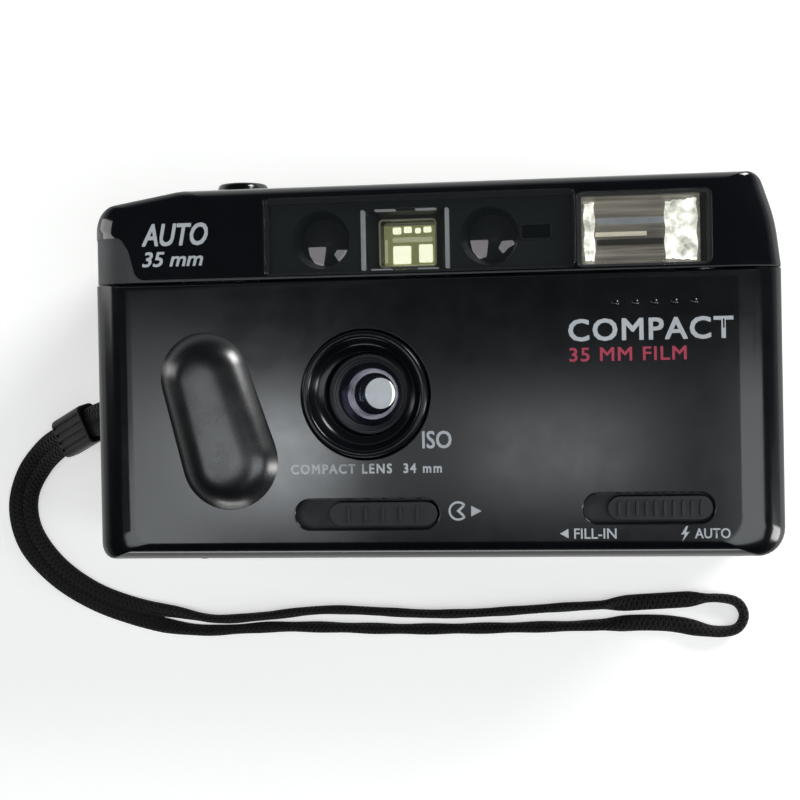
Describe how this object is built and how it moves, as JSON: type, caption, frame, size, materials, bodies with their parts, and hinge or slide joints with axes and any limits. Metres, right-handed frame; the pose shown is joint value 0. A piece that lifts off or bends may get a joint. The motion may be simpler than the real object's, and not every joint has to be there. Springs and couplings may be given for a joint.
{
  "type": "compact film camera",
  "caption": "Compact 35 mm autofocus film camera with built-in flash, sliding lens cover switch, hinged back door and braided wrist strap, lying on its back.",
  "frame": {"origin": "middle of the camera's box without its strap, on the surface that it lies on", "axes": "+Z is the way the lens looks, +Y is the top of the camera, +X its right end seen from the front"},
  "size_m": [0.1574, 0.0904, 0.0431],
  "materials": {
    "satin_black": "fine satin moulded plastic",
    "gloss_black": "polished",
    "matte_black": "matte moulded plastic",
    "smoked_window": "smoked acrylic",
    "clear_plastic": "clear acrylic",
    "coated_glass": "coated optical glass",
    "steel": "bright steel",
    "brass": "turned brass",
    "reflector": "bright aluminised",
    "nylon": "natural nylon",
    "board": "solder-masked board",
    "cell_wrap": "shrink-wrapped cell",
    "strap": "flat braided nylon cord",
    "slider": "moulded, ribbed"
  },
  "bodies": {
    "camera": {"front_cover": "satin_black", "top_cover": "satin_black", "front_band": "gloss_black", "window_panel": "smoked_window", "grip_pad": "satin_black", "rear_frame": "matte_black", "door_hinge_pin": "steel", "lens_bezel": "gloss_black", "lens_mount": "matte_black", "shutter_plate": "matte_black", "light_box": "matte_black", "gate_plate": "matte_black", "cassette_chamber": "matte_black", "spool_chamber": "matte_black", "drive_motor": "steel", "optics_mask": "matte_black", "af_emitter_lens": "smoked_window", "af_receiver_lens": "smoked_window", "meter_cell": "smoked_window", "finder_tunnel": "matte_black", "finder_objective": "clear_plastic", "finder_eyepiece": "clear_plastic", "flash_window": "clear_plastic", "flash_reflector": "reflector", "flash_tube": "clear_plastic", "flash_capacitor": "gloss_black", "circuit_board": "board", "battery_box": "matte_black", "battery_rear": "cell_wrap", "battery_front": "cell_wrap", "button_spring": "steel", "counter_window": "clear_plastic", "tripod_socket": "steel", "base_screw_1": "steel", "base_screw_2": "steel", "strap_lug": "steel", "strap_cord": "strap", "strap_slider": "slider"},
    "door": {"back_door": "satin_black", "door_window": "clear_plastic", "pressure_spring": "steel"},
    "film_plate": {"pressure_plate": "matte_black"},
    "latch": {"door_latch": "matte_black"},
    "battery_door": {"battery_door": "satin_black"},
    "lens_group": {"lens_barrel": "matte_black", "front_element": "coated_glass", "rear_element": "coated_glass"},
    "cover_blade": {"lens_cover_blade": "matte_black"},
    "cover_switch": {"lens_cover_switch": "satin_black"},
    "flash_switch": {"flash_switch": "satin_black"},
    "shutter_left": {"shutter_blade_left": "steel"},
    "shutter_right": {"shutter_blade_right": "steel"},
    "spool": {"takeup_spool": "nylon"},
    "pinion": {"motor_pinion": "brass"},
    "reduction": {"reduction_gear": "nylon"},
    "sprocket": {"sprocket_shaft": "matte_black"},
    "rewind": {"rewind_fork": "nylon"},
    "button": {"shutter_button": "satin_black"},
    "dial": {"counter_dial": "nylon"},
    "rewind_key": {"rewind_button": "matte_black"}
  },
  "joints": [
    {"name": "door_hinge", "type": "hinge", "parent": "camera", "child": "door", "pos_m": [-0.0598, -0.0079, 0.0022], "axis": [0, 1, 0], "range_deg": [0, 105]},
    {"name": "film_plate_float", "type": "slide", "parent": "door", "child": "film_plate", "axis": [0, 0, -1], "range_m": [0, 0.0005], "stiffness_N_per_m": 400, "deforming": ["pressure_spring"]},
    {"name": "latch_slide", "type": "slide", "parent": "camera", "child": "latch", "axis": [0, 1, 0], "range_m": [0, 0.003], "stiffness_N_per_m": 150},
    {"name": "battery_door_hinge", "type": "hinge", "parent": "camera", "child": "battery_door", "pos_m": [0.0409, -0.03295, 0.0184], "axis": [0, 0, -1], "range_deg": [0, 90]},
    {"name": "focus_slide", "type": "slide", "parent": "camera", "child": "lens_group", "axis": [0, 0, 1], "range_m": [0, 0.0009]},
    {"name": "cover_switch_slide", "type": "slide", "parent": "camera", "child": "cover_switch", "axis": [-1, 0, 0], "range_m": [0, 0.0058]},
    {"name": "cover_blade_turn", "type": "hinge", "parent": "camera", "child": "cover_blade", "pos_m": [-0.0025, -0.01545, 0.03805], "axis": [0, 0, 1], "range_deg": [0, 70]},
    {"name": "flash_switch_slide", "type": "slide", "parent": "camera", "child": "flash_switch", "axis": [-1, 0, 0], "range_m": [0, 0.004], "stiffness_N_per_m": 120},
    {"name": "shutter_open", "type": "hinge", "parent": "camera", "child": "shutter_left", "pos_m": [-0.0139, -0.01595, 0.02105], "axis": [0, 0, 1], "range_deg": [0, 32], "stiffness_Nm_per_rad": 0.0005},
    {"name": "shutter_open_right", "type": "hinge", "parent": "camera", "child": "shutter_right", "pos_m": [-0.0091, -0.01595, 0.02045], "axis": [0, 0, 1], "range_deg": [-32, 0]},
    {"name": "spool_spin", "type": "hinge", "parent": "camera", "child": "spool", "pos_m": [-0.0494, -0.005, 0.0165], "axis": [0, 1, 0], "continuous": true},
    {"name": "pinion_spin", "type": "hinge", "parent": "camera", "child": "pinion", "pos_m": [-0.0494, 0.0172, 0.0165], "axis": [0, 1, 0], "continuous": true},
    {"name": "reduction_spin", "type": "hinge", "parent": "camera", "child": "reduction", "pos_m": [-0.0414, 0.0165, 0.0165], "axis": [0, 1, 0], "continuous": true},
    {"name": "sprocket_spin", "type": "hinge", "parent": "camera", "child": "sprocket", "pos_m": [-0.0353, -0.005, 0.0093], "axis": [0, 1, 0], "continuous": true},
    {"name": "rewind_spin", "type": "hinge", "parent": "camera", "child": "rewind", "pos_m": [0.0213, -0.03, 0.0174], "axis": [0, 1, 0], "continuous": true},
    {"name": "counter_turn", "type": "hinge", "parent": "camera", "child": "dial", "pos_m": [-0.022, 0.0303, 0.014], "axis": [0, 1, 0], "continuous": true},
    {"name": "button_press", "type": "slide", "parent": "camera", "child": "button", "axis": [0, -1, 0], "range_m": [0, 0.0013], "stiffness_N_per_m": 350, "deforming": ["button_spring"]},
    {"name": "rewind_key_press", "type": "slide", "parent": "camera", "child": "rewind_key", "axis": [0, 1, 0], "range_m": [0, 0.0006], "stiffness_N_per_m": 300}
  ],
  "couplings": [
    {"joint": "cover_blade_turn", "follows": "cover_switch_slide", "rad_per_m": 210.64},
    {"joint": "shutter_open_right", "follows": "shutter_open", "ratio": -1},
    {"joint": "pinion_spin", "follows": "spool_spin", "ratio": 9},
    {"joint": "reduction_spin", "follows": "spool_spin", "ratio": -3},
    {"joint": "sprocket_spin", "follows": "spool_spin", "ratio": 1.6667},
    {"joint": "counter_turn", "follows": "spool_spin", "ratio": 0.0417}
  ]
}
